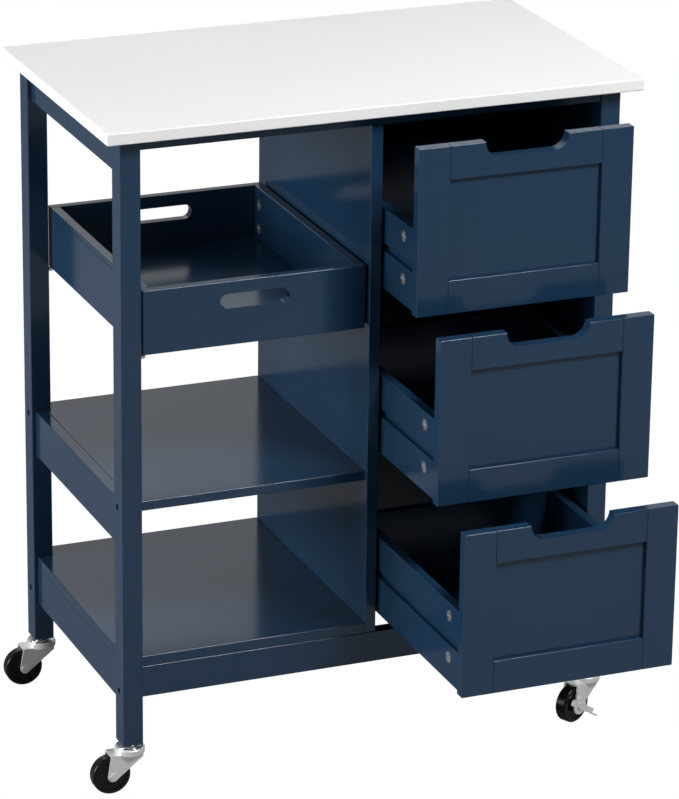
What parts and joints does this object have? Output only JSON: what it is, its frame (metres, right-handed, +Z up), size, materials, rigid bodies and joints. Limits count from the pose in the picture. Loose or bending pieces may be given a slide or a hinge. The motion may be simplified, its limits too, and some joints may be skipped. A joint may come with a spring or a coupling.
{
  "type": "kitchen island cart",
  "caption": "Rolling kitchen island cart: pale worktop, dark blue frame, lift-out tray, open shelves, drawers and swivel casters with brakes.",
  "frame": {"origin": "centre of the bottom of the cart's outer box, on the floor, with the drawers drawn out as built", "axes": "+X to the right seen from the front, +Y to the back, +Z up"},
  "size_m": [0.7154, 0.6488, 0.87],
  "materials": {
    "worktop_white": "satin white laminate",
    "navy_paint": "semi-gloss navy paint over board",
    "board_dark": "semi-gloss dark navy board",
    "bolt_dark": "black oxide",
    "cam_zinc": "bright zinc",
    "chrome": "polished",
    "zinc": "satin zinc plate",
    "wheel_black": "slightly glossy black",
    "runner_wood": "plain hardwood strip"
  },
  "bodies": {
    "frame": {"back_panel": "board_dark", "base_rail_back": "navy_paint", "base_rail_front": "navy_paint", "base_rail_left": "navy_paint", "bottom_shelf": "navy_paint", "caster_stems": "chrome", "divider_panel": "navy_paint", "drawer_runners": "runner_wood", "frame_bolts": "bolt_dark", "leg_back_left": "navy_paint", "leg_back_right": "navy_paint", "leg_front_left": "navy_paint", "leg_front_right": "navy_paint", "middle_shelf": "navy_paint", "shelf_rail_left": "navy_paint", "side_panel_right": "navy_paint", "top_rail_back": "navy_paint", "top_rail_front": "navy_paint", "top_rail_left": "navy_paint", "tray_pins": "cam_zinc", "worktop": "worktop_white"},
    "tray": {"tray_back": "navy_paint", "tray_bottom": "navy_paint", "tray_cam_locks": "cam_zinc", "tray_front": "navy_paint", "tray_left": "navy_paint", "tray_right": "navy_paint"},
    "drawer_top": {"drawer_top_back": "navy_paint", "drawer_top_bottom": "board_dark", "drawer_top_cam_locks": "cam_zinc", "drawer_top_front": "navy_paint", "drawer_top_side_left": "navy_paint", "drawer_top_side_right": "navy_paint"},
    "drawer_middle": {"drawer_middle_back": "navy_paint", "drawer_middle_bottom": "board_dark", "drawer_middle_cam_locks": "cam_zinc", "drawer_middle_front": "navy_paint", "drawer_middle_side_left": "navy_paint", "drawer_middle_side_right": "navy_paint"},
    "drawer_bottom": {"drawer_bottom_back": "navy_paint", "drawer_bottom_bottom": "board_dark", "drawer_bottom_cam_locks": "cam_zinc", "drawer_bottom_front": "navy_paint", "drawer_bottom_side_left": "navy_paint", "drawer_bottom_side_right": "navy_paint"},
    "swivel_front_left": {"caster_fork_front_left": "zinc", "caster_axle_front_left": "zinc"},
    "wheel_front_left": {"caster_wheel_front_left": "wheel_black"},
    "swivel_front_right": {"caster_fork_front_right": "zinc", "caster_axle_front_right": "zinc"},
    "wheel_front_right": {"caster_wheel_front_right": "wheel_black"},
    "brake_front_right": {"brake_lever_front_right": "zinc"},
    "swivel_back_left": {"caster_fork_back_left": "zinc", "caster_axle_back_left": "zinc"},
    "wheel_back_left": {"caster_wheel_back_left": "wheel_black"},
    "swivel_back_right": {"caster_fork_back_right": "zinc", "caster_axle_back_right": "zinc"},
    "wheel_back_right": {"caster_wheel_back_right": "wheel_black"},
    "brake_back_right": {"brake_lever_back_right": "zinc"}
  },
  "joints": [
    {"name": "tray_slide", "type": "slide", "parent": "frame", "child": "tray", "axis": [0, -1, 0], "range_m": [0, 0.42]},
    {"name": "drawer_top_slide", "type": "slide", "parent": "frame", "child": "drawer_top", "axis": [0, -1, 0], "range_m": [-0.1015, 0.1985]},
    {"name": "drawer_middle_slide", "type": "slide", "parent": "frame", "child": "drawer_middle", "axis": [0, -1, 0], "range_m": [-0.1765, 0.1235]},
    {"name": "drawer_bottom_slide", "type": "slide", "parent": "frame", "child": "drawer_bottom", "axis": [0, -1, 0], "range_m": [-0.262, 0.038]},
    {"name": "swivel_front_left_turn", "type": "hinge", "parent": "frame", "child": "swivel_front_left", "pos_m": [-0.30675, -0.04713, 0.06], "axis": [0, 0, 1], "continuous": true},
    {"name": "wheel_front_left_spin", "type": "hinge", "parent": "swivel_front_left", "child": "wheel_front_left", "pos_m": [-0.33275, -0.04713, 0.025], "axis": [0, 1, 0], "continuous": true},
    {"name": "swivel_front_right_turn", "type": "hinge", "parent": "frame", "child": "swivel_front_right", "pos_m": [0.32305, -0.04713, 0.06], "axis": [0, 0, 1], "continuous": true},
    {"name": "wheel_front_right_spin", "type": "hinge", "parent": "swivel_front_right", "child": "wheel_front_right", "pos_m": [0.29949, -0.05811, 0.025], "axis": [-0.4226, 0.9063, 0], "continuous": true},
    {"name": "brake_front_right_press", "type": "hinge", "parent": "swivel_front_right", "child": "brake_front_right", "pos_m": [0.30523, -0.07044, 0.025], "axis": [-0.4226, 0.9063, 0], "range_deg": [-18, 8]},
    {"name": "swivel_back_left_turn", "type": "hinge", "parent": "frame", "child": "swivel_back_left", "pos_m": [-0.30675, 0.30538, 0.06], "axis": [0, 0, 1], "continuous": true},
    {"name": "wheel_back_left_spin", "type": "hinge", "parent": "swivel_back_left", "child": "wheel_back_left", "pos_m": [-0.33275, 0.30538, 0.025], "axis": [0, 1, 0], "continuous": true},
    {"name": "swivel_back_right_turn", "type": "hinge", "parent": "frame", "child": "swivel_back_right", "pos_m": [0.32305, 0.30538, 0.06], "axis": [0, 0, 1], "continuous": true},
    {"name": "wheel_back_right_spin", "type": "hinge", "parent": "swivel_back_right", "child": "wheel_back_right", "pos_m": [0.29705, 0.30538, 0.025], "axis": [0, 1, 0], "continuous": true},
    {"name": "brake_back_right_press", "type": "hinge", "parent": "swivel_back_right", "child": "brake_back_right", "pos_m": [0.29705, 0.29177, 0.025], "axis": [0, 1, 0], "range_deg": [-18, 8]}
  ]
}
